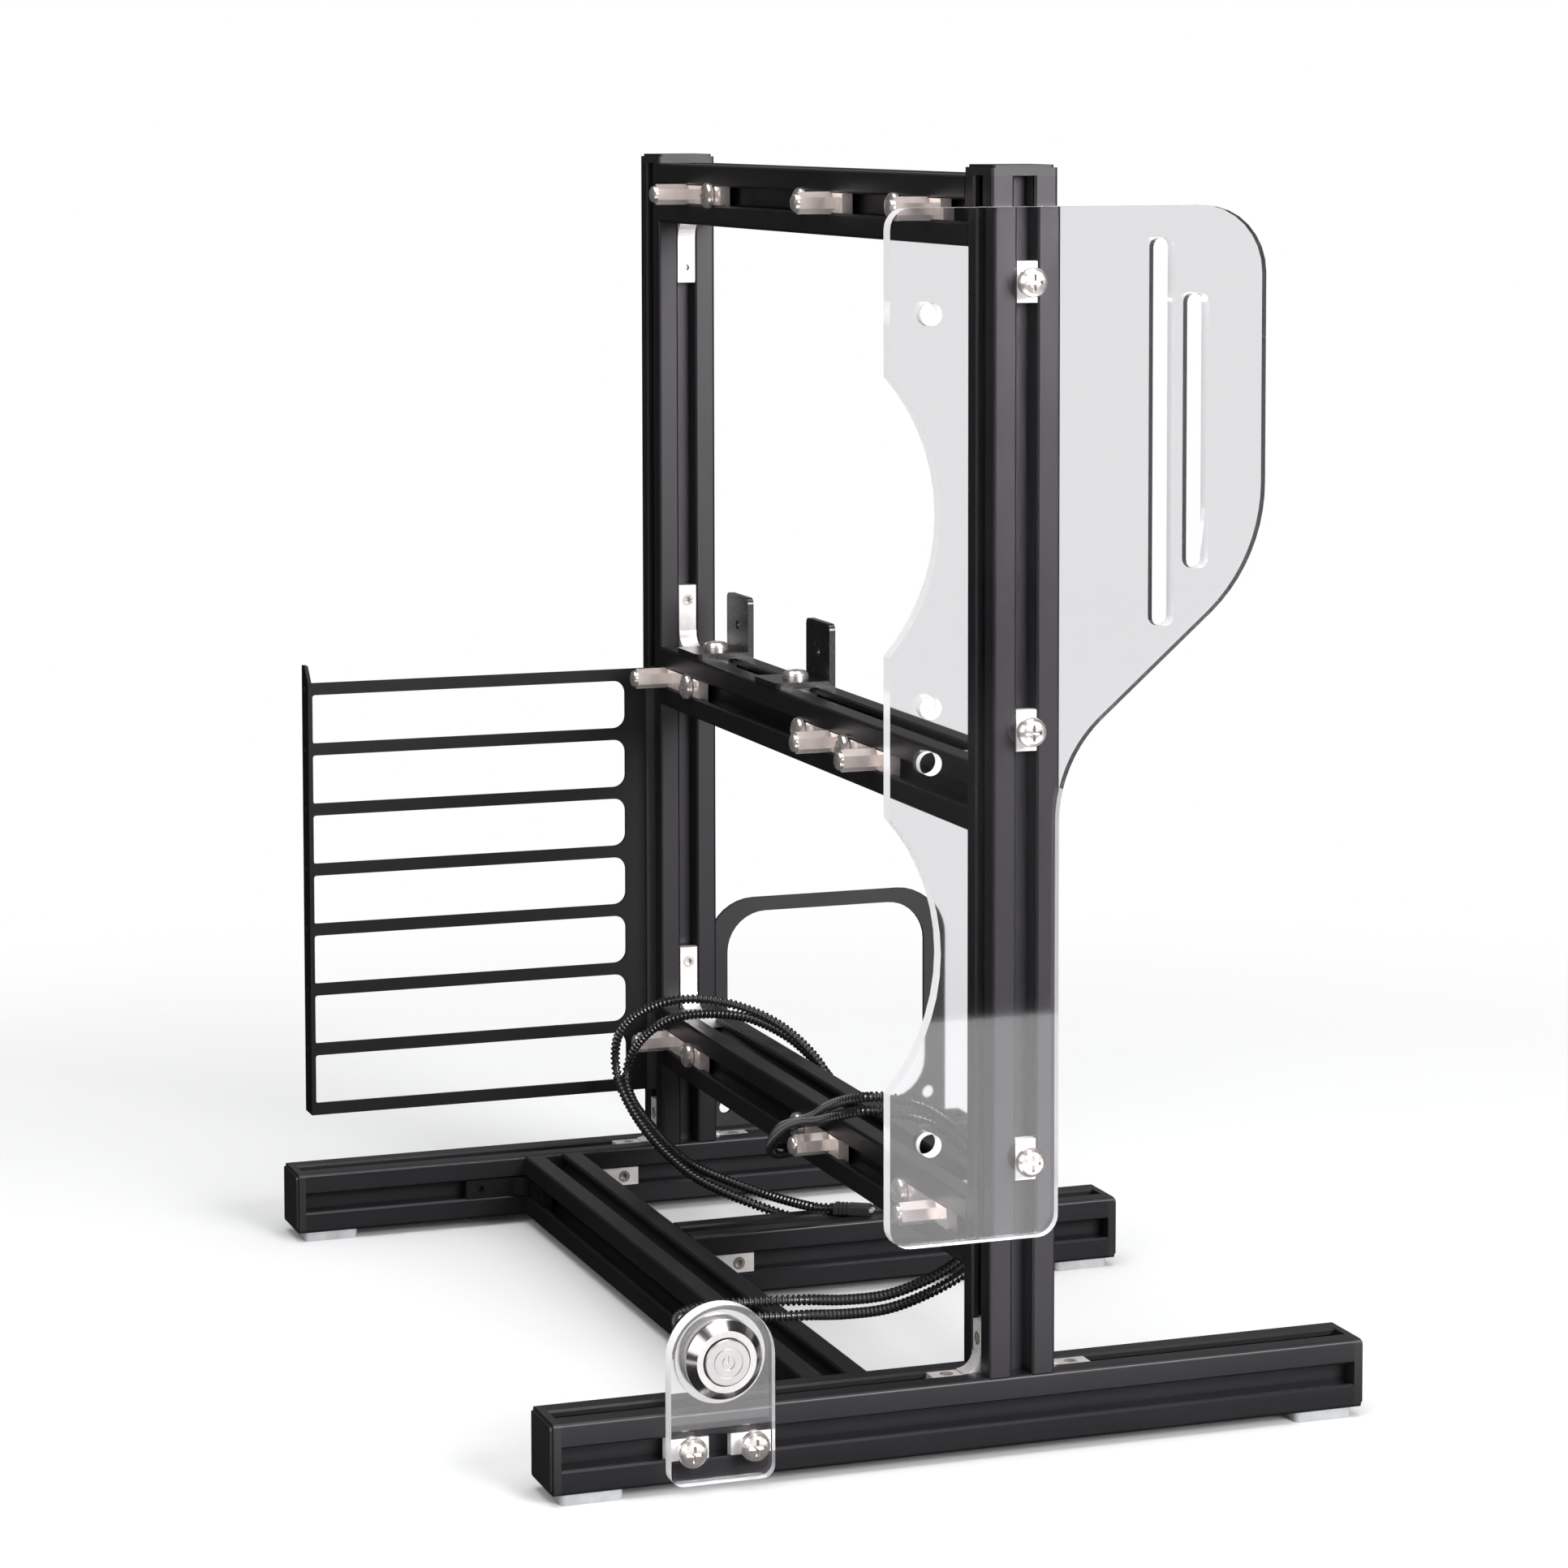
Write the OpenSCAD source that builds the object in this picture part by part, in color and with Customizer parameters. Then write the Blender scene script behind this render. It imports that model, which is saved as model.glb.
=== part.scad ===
// Open air test bench: a frame of slotted aluminium profile that holds a computer's
// main board upright, with an expansion card panel, a clear side plate and a power button.
// Lengths are in millimetres. Measurements start at the feet's left end, at the front
// face of the front foot and at the ground; place() then moves the origin to the
// middle of the footprint.

/* [Frame] */
// Side of the square slotted profile
profile_w = 20; // [19:0.5:22]
// Length of the front and back feet with their end caps
foot_len = 245; // [235:1:270]
// Depth of the bench over the front and back feet
frame_depth = 320; // [315:1:345]
// Length of each upright post
post_len = 337; // [332:1:350]
// From the feet's left end to the posts' left face
post_x = 128; // [124:1:134]
// From the feet's left end to the floor beam's left face
floor_beam_x = 79; // [74:1:84]
// From the front of the bench to the short foot's front face
mid_foot_y = 178; // [172:1:186]
// Underside of the middle crossbar above the ground
mid_bar_z = 175.5; // [172:0.5:182]
// Underside of the lower crossbar above the ground
low_bar_z = 50.5; // [49:0.5:56]
// Thickness of a moulded end cap
cap_t = 3; // [2:0.5:4]
// Height of the pads under the feet
pad_h = 3; // [2:0.5:5]

/* [Side plate] */
// Thickness of the clear sheet of the side plate and the button tab
plate_t = 5; // [4:0.5:6]
// Height of the side plate
plate_h = 288; // [284:1:294]
// Underside of the side plate above the ground
plate_z = 63.5; // [61:0.5:66]
// From the post's slot to the side plate's left edge
plate_left = 41.7; // [40:0.1:44]
// How far the wing reaches to the right of the post's slot
wing_reach = 71.3; // [68:0.1:76]
// Depth of the two scallops in the left edge
scallop_d = 15; // [12:0.5:17]

/* [Expansion panel] */
// Distance from one card opening to the next
slot_pitch = 20.32; // [20:0.01:20.6]
// Number of card openings
slot_count = 7; // [5:1:7]
// Thickness of the folded steel sheet
sheet_t = 1.2; // [1:0.1:1.5]
// Height of the bars between the openings
rung_h = 4; // [3.5:0.1:4.6]
// Top edge of the panel above the ground
panel_top = 187; // [185:0.5:190]
// From the feet's left end to the folded ledge
ledge_x = 7.6; // [6:0.1:12]
// Width of the folded ledge
ledge_w = 9; // [8:0.5:12]

/* [Rear frame] */
// Outside width of the frame
ring_w = 88; // [84:1:88]
// Top edge of the frame above the ground
ring_top = 103; // [98:1:108]
// Width of the frame's side strips
ring_strip = 7.2; // [6:0.1:8.5]
// Height of the frame's top strip
ring_top_strip = 4.8; // [4:0.1:6]
// Thickness of the frame's sheet
ring_t = 1.5; // [1.2:0.1:2]

/* [Power button] */
// Diameter of the button's threaded barrel
barrel_d = 19; // [18:0.1:19.4]
// Diameter of the button's face ring
bezel_d = 22; // [21:0.1:23]
// Diameter of the pressed cap
press_d = 13; // [12:0.1:14.4]
// How far the cap can be pressed in
travel = 1.5; // [1:0.1:1.8]
// Width of the clear tab that holds the button
tab_w = 30; // [28:0.5:33]
// From the feet's left end to the middle of the tab
tab_x = 47.6; // [42:0.1:52]

/* [Hardware] */
// Thread diameter of the slot screws
screw_d = 4; // [3.6:0.1:4.2]
// Head diameter of the slot screws
head_d = 8.4; // [7.6:0.1:8.8]
// Leg length of the corner connectors on the bars
connector_leg = 20.5; // [18:0.5:22]
// Leg length of the corner connectors at the foot of a post
base_leg = 14; // [13:0.5:16]
// Width across the flats of a board standoff
standoff_af = 5.9; // [5:0.1:6.2]
// Length of a board standoff
standoff_len = 10.5; // [9:0.5:13]
// Leg length of the two angle brackets on the middle crossbar
angle_leg = 20; // [18:0.5:22]
// Width of the two angle brackets
angle_w = 22; // [18:1:26]

/* [Hidden] */
$fn = 32;

eps = 0.02;
press_gap = 0.3;
thread_gap = 0.05;
slot_recess = 0.3;

// Heights and places worked out from the sizes above
foot_top = pad_h + profile_w;
post_top = foot_top + post_len;
top_bar_z = post_top - profile_w;
slot_x = post_x + profile_w / 2;
slot_z = pad_h + profile_w / 2;
back_foot_y = frame_depth - profile_w;
beam_right = floor_beam_x + profile_w;
mid_foot_back = mid_foot_y + profile_w;

// The slot's half outline, in shares of the profile's side: mouth, lip, channel, root
slot_shares = [[0.185, 0.51], [0.185, 0.5], [0.155, 0.47], [0.155, 0.41], [0.2875, 0.41],
    [0.2875, 0.3405], [0.142, 0.195]];
lip_t = 0.09 * profile_w;
slot_depth = 0.305 * profile_w;
bore_d = 0.215 * profile_w;
edge_r = 0.05 * profile_w;
rib_w = 0.3 * profile_w;
flange_w = 0.53 * profile_w;
flange_t = 0.09 * profile_w;
nut_len = 0.575 * profile_w;
bevel = 0.04 * profile_w;

// Screw heads
head_h = 0.34 * head_d;
cross_w = 0.11 * head_d;
cross_len = 0.56 * head_d;
cross_depth = 0.45 * head_h;

black = [0.05, 0.05, 0.055];
dark_steel = [0.07, 0.07, 0.075];
nickel = [0.78, 0.74, 0.72];
clear = [0.85, 0.9, 0.92, 0.4];
milk = [0.85, 0.86, 0.86];

// How far the button stands in front of the front foot, and the rear frame behind
bezel_h = 3.2;
press_proud = 1;
button_front = plate_t + bezel_h + press_proud;
frame_back = frame_depth + ring_t + head_h;
centre_y = (frame_back - button_front) / 2;

module place() translate([-foot_len / 2, -centre_y, 0]) children();

// Shared shapes

module rounded_square(w, r) {
    square([w, w - 2 * r], center = true);
    square([w - 2 * r, w], center = true);
    for (sx = [-1, 1], sy = [-1, 1]) {
        translate([sx * (w / 2 - r), sy * (w / 2 - r)]) circle(r = r, $fn = 16);
    }
}

// One slot of the profile, opening towards +Y
module slot_2d() {
    last = len(slot_shares) - 1;
    right = [for (p = slot_shares) p * profile_w];
    left = [for (i = [last:-1:0]) [-slot_shares[i].x, slot_shares[i].y] * profile_w];
    polygon(concat(right, left));
}

module profile_2d() {
    difference() {
        rounded_square(profile_w, edge_r);
        for (turn = [0:90:270]) {
            rotate(turn) slot_2d();
        }
        circle(d = bore_d, $fn = 24);
    }
}

module bar_x(x_from, x_to, y, z) {
    translate([x_from, y + profile_w / 2, z + profile_w / 2])
        rotate([0, 90, 0]) linear_extrude(x_to - x_from) profile_2d();
}

module bar_y(x, y_from, y_to, z) {
    translate([x + profile_w / 2, y_from, z + profile_w / 2])
        rotate([-90, 0, 0]) linear_extrude(y_to - y_from) profile_2d();
}

module bar_z(x, y, z_from, z_to) {
    translate([x + profile_w / 2, y + profile_w / 2, z_from])
        linear_extrude(z_to - z_from) profile_2d();
}

// A moulded cap that stands on the z = 0 plane, with a stepped outer edge
module end_cap() {
    color(black) {
        linear_extrude(cap_t - bevel) rounded_square(profile_w, edge_r);
        translate([0, 0, cap_t - bevel])
            linear_extrude(bevel) rounded_square(profile_w - 2 * bevel, edge_r);
    }
}

module cap_left(y) {
    translate([cap_t, y + profile_w / 2, slot_z]) rotate([0, -90, 0]) end_cap();
}

module cap_right(y) {
    translate([foot_len - cap_t, y + profile_w / 2, slot_z]) rotate([0, 90, 0]) end_cap();
}

pad_side = 0.9 * profile_w;
pad_inset = 0.15 * profile_w;

// A pad under a foot, with its left edge at x
module pad(x, y) {
    color(milk) translate([x + pad_side / 2, y + profile_w / 2, 0])
        linear_extrude(pad_h) rounded_square(pad_side, 2 * edge_r);
}

// Nut section in a slot whose mouth lies in the y = 0 plane and opens towards -Y,
// seen along its length
module nut_2d() {
    translate([-rib_w / 2, slot_recess]) square([rib_w, lip_t - slot_recess + eps]);
    translate([-flange_w / 2, lip_t]) square([flange_w, flange_t]);
}

// A sliding nut along Z, centred on its screw, which runs along +Y
module slot_nut(length, holes) {
    color(nickel) difference() {
        translate([0, 0, -length / 2]) linear_extrude(length) nut_2d();
        for (z = holes) {
            translate([0, -eps, z]) rotate([-90, 0, 0])
                cylinder(d = screw_d, h = lip_t + flange_t + 2 * eps, $fn = 24);
        }
    }
}

// Pan head screw along +Y with its head's underside in the y = 0 plane
module pan_screw(reach) {
    color(nickel) difference() {
        union() {
            rotate([90, 0, 0]) pan_head(1);
            rotate([-90, 0, 0]) cylinder(d = screw_d - 2 * thread_gap, h = reach, $fn = 24);
        }
        for (turn = [0, 90]) {
            rotate([0, turn, 0]) translate([-cross_len / 2, -head_h - eps, -cross_w / 2])
                cube([cross_len, cross_depth + eps, cross_w]);
        }
    }
}

head_shares = [[0, 0], [0.5, 0], [0.5, 0.36], [0.47, 0.62], [0.37, 0.85], [0.2, 0.96], [0, 1]];

module pan_head(share) {
    rotate_extrude($fn = 28)
        polygon([for (p = head_shares) [p.x * share * head_d, p.y * share * head_h]]);
}

// Corner connector: one leg up along +Z in a slot that faces -Y, the other along -Y
// in a slot that faces +Z. The corner of the two slot mouths is the origin. A hollow
// gusset stands out of the slots between the legs.
module connector(leg) {
    deep = lip_t + flange_t;
    gusset = 0.25 * profile_w;
    color(nickel) difference() {
        union() {
            linear_extrude(leg) nut_2d();
            translate([0, 0, -deep]) linear_extrude(deep + eps)
                translate([-rib_w / 2, 0]) square([rib_w, deep]);
            rotate([90, 0, 0]) linear_extrude(leg) mirror([0, 1]) nut_2d();
            rotate([90, 0, 90]) linear_extrude(rib_w, center = true)
                polygon(concat([[eps, gusset], [eps, -eps], [-gusset, -eps]],
                    arc([-gusset, gusset], gusset, -90, 0, 6)));
        }
        connector_holes(leg) cylinder(d = screw_d, h = deep + 2 * eps, $fn = 24);
    }
}

screw_inset = 5;

// The two screw places of a connector: each child runs along +Z into the slot
module connector_holes(leg) {
    translate([0, -eps, leg - screw_inset]) rotate([-90, 0, 0]) children();
    translate([0, -leg + screw_inset, eps]) rotate([180, 0, 0]) children();
}

grub_recess = 0.3;
hex_r = 1.25;
hex_depth = 1.6;

module grub_screw() {
    color(nickel) translate([0, 0, grub_recess]) difference() {
        cylinder(d = screw_d - 2 * thread_gap, h = slot_depth - grub_recess, $fn = 20);
        translate([0, 0, -eps]) cylinder(r = hex_r, h = hex_depth, $fn = 6);
    }
}

// Places of the connectors. Each place carries a child in the connector's own frame.
module at_bar(z, under) {
    flip = under ? 1 : 0;
    translate([slot_x, back_foot_y, z]) mirror([0, 0, flip]) children();
    translate([slot_x, profile_w, z]) mirror([0, 1, 0]) mirror([0, 0, flip]) children();
}

module at_post_base(y) {
    translate([post_x, y + profile_w / 2, foot_top]) rotate([0, 0, -90]) children();
    translate([post_x + profile_w, y + profile_w / 2, foot_top])
        rotate([0, 0, 90]) children();
}

module at_floor() {
    translate([beam_right, back_foot_y, slot_z]) rotate([0, 90, 0]) children();
    translate([beam_right, mid_foot_y, slot_z]) rotate([0, 90, 0]) children();
    translate([beam_right, mid_foot_back, slot_z])
        mirror([0, 1, 0]) rotate([0, 90, 0]) children();
    translate([beam_right, profile_w, slot_z])
        mirror([0, 1, 0]) rotate([0, 90, 0]) children();
    translate([floor_beam_x, back_foot_y, slot_z]) rotate([0, -90, 0]) children();
    translate([floor_beam_x, profile_w, slot_z])
        mirror([0, 1, 0]) rotate([0, -90, 0]) children();
}

// Feet, posts and bars

module foot_front() {
    color(black) bar_x(cap_t, foot_len - cap_t, 0, pad_h);
}

module foot_back() {
    color(black) bar_x(cap_t, foot_len - cap_t, back_foot_y, pad_h);
}

module foot_mid() {
    color(black) bar_x(beam_right, foot_len - cap_t, mid_foot_y, pad_h);
}

module floor_beam() {
    color(black) bar_y(floor_beam_x, profile_w, back_foot_y, pad_h);
}

module post_front() {
    color(black) bar_z(post_x, 0, foot_top, post_top);
}

module post_back() {
    color(black) bar_z(post_x, back_foot_y, foot_top, post_top);
}

module crossbar_top() {
    color(black) bar_y(post_x, profile_w, back_foot_y, top_bar_z);
}

module crossbar_mid() {
    color(black) bar_y(post_x, profile_w, back_foot_y, mid_bar_z);
}

module crossbar_low() {
    color(black) bar_y(post_x, profile_w, back_foot_y, low_bar_z);
}

module cap_front_left() cap_left(0);
module cap_front_right() cap_right(0);
module cap_back_left() cap_left(back_foot_y);
module cap_back_right() cap_right(back_foot_y);
module cap_mid_right() cap_right(mid_foot_y);

module cap_post_front() translate([slot_x, profile_w / 2, post_top]) end_cap();
module cap_post_back() {
    translate([slot_x, back_foot_y + profile_w / 2, post_top]) end_cap();
}

module pad_front_left() pad(pad_inset, 0);
module pad_front_right() pad(foot_len - pad_inset - pad_side, 0);
module pad_back_left() pad(pad_inset, back_foot_y);
module pad_back_right() pad(foot_len - pad_inset - pad_side, back_foot_y);
module pad_mid() pad(foot_len - pad_inset - pad_side, mid_foot_y);

// Connectors

module connectors_top() at_bar(top_bar_z, true) connector(connector_leg);
module connectors_mid() at_bar(mid_bar_z + profile_w, false) connector(connector_leg);
module connectors_low() at_bar(low_bar_z + profile_w, false) connector(connector_leg);
module connectors_post_front() at_post_base(0) connector(base_leg);
module connectors_post_back() at_post_base(back_foot_y) connector(base_leg);
module connectors_floor() at_floor() connector(connector_leg);

module grub_screws() {
    at_bar(top_bar_z, true) connector_holes(connector_leg) grub_screw();
    at_bar(mid_bar_z + profile_w, false) connector_holes(connector_leg) grub_screw();
    at_bar(low_bar_z + profile_w, false) connector_holes(connector_leg) grub_screw();
    at_post_base(0) connector_holes(base_leg) grub_screw();
    at_post_base(back_foot_y) connector_holes(base_leg) grub_screw();
    at_floor() connector_holes(connector_leg) grub_screw();
}

// Points of a round arc about c from angle a to angle b
function arc(c, r, a, b, n) =
    [for (i = [0:n]) let (t = a + (b - a) * i / n) c + r * [cos(t), sin(t)]];

// Radius of an arc over a chord of the given length and depth
function chord_r(chord, depth) = (chord * chord / 4 + depth * depth) / (2 * depth);

// Clear side plate. Its outline is drawn about the post's slot, upwards from its
// lower edge. Heights are shares of the plate's height.

plate_corner = 6;
post_edge = 0.43 * profile_w;
wing_corner = 19;
waist_r = 38;
waist_share = 0.4045;
waist_turn = 48.5;
shoulder_r = 48;
shoulder_share = 0.729;
scallop_low_shares = [0.151, 0.418];
scallop_high_shares = [0.573, 0.840];
plain_hole_shares = [0.099, 0.469, 0.523, 0.899];
plate_screw_shares = [0.075, 0.495, 0.928];
plain_hole_d = 6.5;
plain_hole_x = -29.7;
screw_hole_d = screw_d + 0.4;
wing_slot_w = 6.6;
wing_slot_r = 2.5;
wing_slot_x = [39.9, 50.3];
wing_slot_shares = [[0.592, 0.969], [0.647, 0.915]];

// One scallop, from its upper end down, cut into the edge at x
function scallop(x, shares) =
    let (low = shares[0] * plate_h)
    let (high = shares[1] * plate_h)
    let (r = chord_r(high - low, scallop_d))
    let (half = asin((high - low) / 2 / r))
    arc([x + scallop_d - r, (low + high) / 2], r, half, -half, 14);

function plate_edge(left) = concat(
    arc([left + plate_corner, plate_corner], plate_corner, 180, 270, 6),
    arc([post_edge - plate_corner, plate_corner], plate_corner, 270, 360, 6),
    arc([post_edge + waist_r, waist_share * plate_h], waist_r, 180, 180 - waist_turn, 10),
    arc([wing_reach - shoulder_r, shoulder_share * plate_h], shoulder_r, -waist_turn, 0, 10),
    arc([wing_reach - wing_corner, plate_h - wing_corner], wing_corner, 0, 90, 8),
    arc([left + plate_corner, plate_h - plate_corner], plate_corner, 90, 180, 6),
    scallop(left, scallop_high_shares),
    scallop(left, scallop_low_shares));

module wing_slot(i) {
    low = wing_slot_shares[i][0] * plate_h;
    high = wing_slot_shares[i][1] * plate_h;
    edge_x = wing_slot_w / 2 - wing_slot_r;
    hull() {
        for (sx = [-1, 1], z = [low + wing_slot_r, high - wing_slot_r]) {
            translate([wing_slot_x[i] + sx * edge_x, z]) circle(r = wing_slot_r, $fn = 16);
        }
    }
}

// Stands a flat outline up in the XZ plane: its back face at y = 0, its front at -thick
module upright(thick) {
    rotate([90, 0, 0]) linear_extrude(thick) children();
}

module side_plate() {
    color(clear) translate([slot_x, 0, plate_z]) upright(plate_t) difference() {
        polygon(plate_edge(-plate_left));
        wing_slot(0);
        wing_slot(1);
        for (share = plain_hole_shares) {
            translate([plain_hole_x, share * plate_h]) circle(d = plain_hole_d);
        }
        for (share = plate_screw_shares) {
            translate([0, share * plate_h]) circle(d = screw_hole_d);
        }
    }
}

nut_back = lip_t + flange_t;

module plate_screws() {
    for (share = plate_screw_shares) {
        translate([slot_x, -plate_t, plate_z + share * plate_h])
            pan_screw(plate_t + nut_back);
    }
}

module plate_nuts() {
    for (share = plate_screw_shares) {
        translate([slot_x, 0, plate_z + share * plate_h]) slot_nut(nut_len, [0]);
    }
}

// Expansion card panel: a folded sheet whose right edge sits in the back post's slot

panel_y = back_foot_y + profile_w / 2;
panel_h = slot_count * slot_pitch + rung_h;
panel_z = panel_top - panel_h;
tongue = 0.2 * profile_w;
ledge_margin = 1.5;
right_margin = 9.6;
opening_r = 4.2;
opening_corner = 0.8;
ledge_rise = 5.2;
ledge_hole_d = 3.2;
ledge_hole_share = 0.6;

// One card opening: small corners on the left, round ones on the right
module card_opening(w, h) {
    hull() {
        for (z = [opening_corner, h - opening_corner]) {
            translate([opening_corner, z]) circle(r = opening_corner, $fn = 12);
        }
        for (z = [opening_r, h - opening_r]) {
            translate([w - opening_r, z]) circle(r = opening_r, $fn = 28);
        }
    }
}

module panel_sheet() {
    reach = post_x + tongue - ledge_x;
    opening_w = post_x - right_margin - ledge_x - ledge_margin;
    translate([ledge_x, panel_y + sheet_t / 2, panel_z]) upright(sheet_t) difference() {
        square([reach, panel_h]);
        for (i = [0:slot_count - 1]) {
            translate([ledge_margin, rung_h + i * slot_pitch])
                card_opening(opening_w, slot_pitch - rung_h);
        }
    }
}

// The ledge behind the sheet's left edge, with a screw hole above each card opening
module panel_ledge() {
    translate([ledge_x, panel_y - sheet_t / 2, panel_z])
        rotate([90, 0, 90]) linear_extrude(sheet_t) difference() {
            polygon([[0, 0], [ledge_w, 0], [ledge_w, panel_h + ledge_rise],
                [ledge_w - opening_r, panel_h + ledge_rise], [0, panel_h]]);
            for (i = [0:slot_count - 1]) {
                hole_z = rung_h / 2 + (i + 1) * slot_pitch;
                translate([ledge_hole_share * ledge_w, hole_z]) circle(d = ledge_hole_d, $fn = 20);
            }
        }
}

module expansion_panel() {
    color(dark_steel) {
        panel_sheet();
        panel_ledge();
    }
}

gasket_lip = 2.4;
gasket_wall = 1.2;
barb_t = 1;
barb_w = 0.45 * profile_w;

// Rubber strip that grips the panel's edge and locks behind the slot's lips
module panel_gasket() {
    half_groove = sheet_t / 2;
    half_lip = half_groove + gasket_wall;
    half_barb = barb_w / 2;
    half_rib = rib_w / 2;
    deep = tongue + gasket_wall;
    right = [[-gasket_lip, half_lip], [0, half_lip], [0, half_rib], [lip_t, half_rib],
        [lip_t, half_barb], [lip_t + barb_t, half_barb], [lip_t + barb_t, half_lip],
        [deep, half_lip]];
    left = [for (i = [len(right) - 1:-1:0]) [right[i].x, -right[i].y]];
    groove = [[-gasket_lip, -half_groove], [tongue, -half_groove], [tongue, half_groove],
        [-gasket_lip, half_groove]];
    color(black) translate([post_x, panel_y, panel_z]) linear_extrude(panel_h)
        polygon(concat(right, left, groove));
}

// Rear frame: a flat steel ring on the back foot

ring_left = post_x + 1.175 * profile_w;
ring_z = 6;
ring_outer_r = 17;
ring_base_r = 5;
ring_inner_r = 14;
ring_opening_z = 28;
ring_hole_d = 4.5;
ring_hole_inset = 6.3;
ring_hole_z = 29.5;
ring_screw_shares = [0.21, 0.78];

// Outline of a rectangle whose lower and upper corners have their own radii
function two_radius_box(x0, z0, x1, z1, r_low, r_high) = concat(
    arc([x0 + r_low, z0 + r_low], r_low, 180, 270, 7),
    arc([x1 - r_low, z0 + r_low], r_low, 270, 360, 7),
    arc([x1 - r_high, z1 - r_high], r_high, 0, 90, 9),
    arc([x0 + r_high, z1 - r_high], r_high, 90, 180, 9));

module rear_frame() {
    ring_right = ring_left + ring_w;
    color(dark_steel) translate([0, frame_depth + ring_t, 0]) upright(ring_t) difference() {
        polygon(two_radius_box(ring_left, ring_z, ring_right, ring_top, ring_base_r, ring_outer_r));
        polygon(two_radius_box(ring_left + ring_strip, ring_opening_z, ring_right - ring_strip,
            ring_top - ring_top_strip, ring_inner_r, ring_inner_r));
        for (x = [ring_left + ring_hole_inset, ring_right - ring_hole_inset]) {
            translate([x, ring_hole_z]) circle(d = ring_hole_d, $fn = 24);
        }
        for (share = ring_screw_shares) {
            translate([ring_left + share * ring_w, slot_z]) circle(d = screw_hole_d, $fn = 24);
        }
    }
}

module rear_frame_screws() {
    for (share = ring_screw_shares) {
        translate([ring_left + share * ring_w, frame_depth + ring_t, slot_z])
            rotate([0, 0, 180]) pan_screw(ring_t + nut_back);
    }
}

module rear_frame_nuts() {
    for (share = ring_screw_shares) {
        translate([ring_left + share * ring_w, frame_depth, slot_z])
            rotate([0, 90, 180]) slot_nut(nut_len, [0]);
    }
}

// Angle brackets on the middle crossbar

angle_t = 2;
angle_overhang = 0.5;
angle_corner = 2;
// Room between the rear bracket's screw and the end of the corner connector in its slot
angle_clear = 10;
angle_front_share = 0.607;
angle_rear_y = back_foot_y - connector_leg - angle_clear;
angle_front_y = profile_w + angle_front_share * (back_foot_y - profile_w);
angle_hole_d = 3.2;

// One leg of an angle bracket, from the bend to its rounded far corners
module angle_plate() {
    half = angle_w / 2;
    linear_extrude(angle_t) polygon(concat([[0, -half]],
        arc([angle_leg - angle_corner, angle_corner - half], angle_corner, 270, 360, 5),
        arc([angle_leg - angle_corner, half - angle_corner], angle_corner, 0, 90, 5),
        [[0, half]]));
}

module angle_bracket(y) {
    floor_z = mid_bar_z + profile_w;
    left = post_x - angle_overhang;
    right = left + angle_leg;
    color(dark_steel) difference() {
        union() {
            translate([right, y, floor_z]) mirror([1, 0, 0]) angle_plate();
            translate([right, y, floor_z]) rotate([0, -90, 0]) angle_plate();
        }
        translate([slot_x, y, floor_z - eps])
            cylinder(d = screw_hole_d, h = angle_t + 2 * eps, $fn = 24);
        translate([right - angle_t - eps, y, floor_z + angle_leg / 2])
            rotate([0, 90, 0]) cylinder(d = angle_hole_d, h = angle_t + 2 * eps, $fn = 20);
    }
}

module angle_rear() angle_bracket(angle_rear_y);
module angle_front() angle_bracket(angle_front_y);

module angle_screws() {
    for (y = [angle_rear_y, angle_front_y]) {
        translate([slot_x, y, mid_bar_z + profile_w + angle_t])
            rotate([-90, 0, 0]) pan_screw(angle_t + nut_back);
    }
}

module angle_nuts() {
    for (y = [angle_rear_y, angle_front_y]) {
        translate([slot_x, y, mid_bar_z + profile_w]) rotate([-90, 0, 0]) slot_nut(nut_len, [0]);
    }
}

// Board standoffs: each sits on a slider in a crossbar's left slot. A slider has two
// holes, and the hole that carries no standoff has the screw that clamps it.

slider_len = 40;
slider_rear_hole = 15;
slider_front_hole = 10;

// Each bar's sliders from back to front: how much of the room that the sliders leave lies
// behind this one, and whether its standoff is in the rear hole
top_shares = [[0.156, true], [0.625, false], [0.881, false]];
mid_shares = [[0.006, true], [0.6125, false], [0.6125, false]];
low_shares = [[0.006, true], [0.6, false], [0.9, false]];

// A standoff's place along its bar, its hole and the height of the bar's middle
function slider_start(places, i) =
    i * slider_len + places[i][0] * (back_foot_y - profile_w - len(places) * slider_len);
function on_bar(places, z) = [for (i = [0:len(places) - 1])
    let (middle = back_foot_y - slider_start(places, i) - slider_len / 2)
    [middle + own_hole(places[i]), places[i][1], z + profile_w / 2]];

all_places = concat(on_bar(top_shares, top_bar_z), on_bar(mid_shares, mid_bar_z),
    on_bar(low_shares, low_bar_z));

// Own hole and clamp hole of a standoff, and its slider's middle
function own_hole(place) = place[1] ? slider_rear_hole : -slider_front_hole;
function clamp_hole(place) = place[1] ? -slider_front_hole : slider_rear_hole;
function slider_y(place) = place[0] - own_hole(place);

// Puts a child that runs along +Y into a crossbar's left slot, its own Z along the bar
module in_left_slot(y, z) {
    translate([post_x, y, z]) rotate([-90, -90, 0]) children();
}

module sliders(places, z) {
    for (place = on_bar(places, z)) {
        in_left_slot(slider_y(place), place[2]) slot_nut(slider_len, [slider_rear_hole, -slider_front_hole]);
    }
}

board_screw_d = 3;
board_bore_d = board_screw_d + 2 * thread_gap;
board_bore_len = 6;

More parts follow.
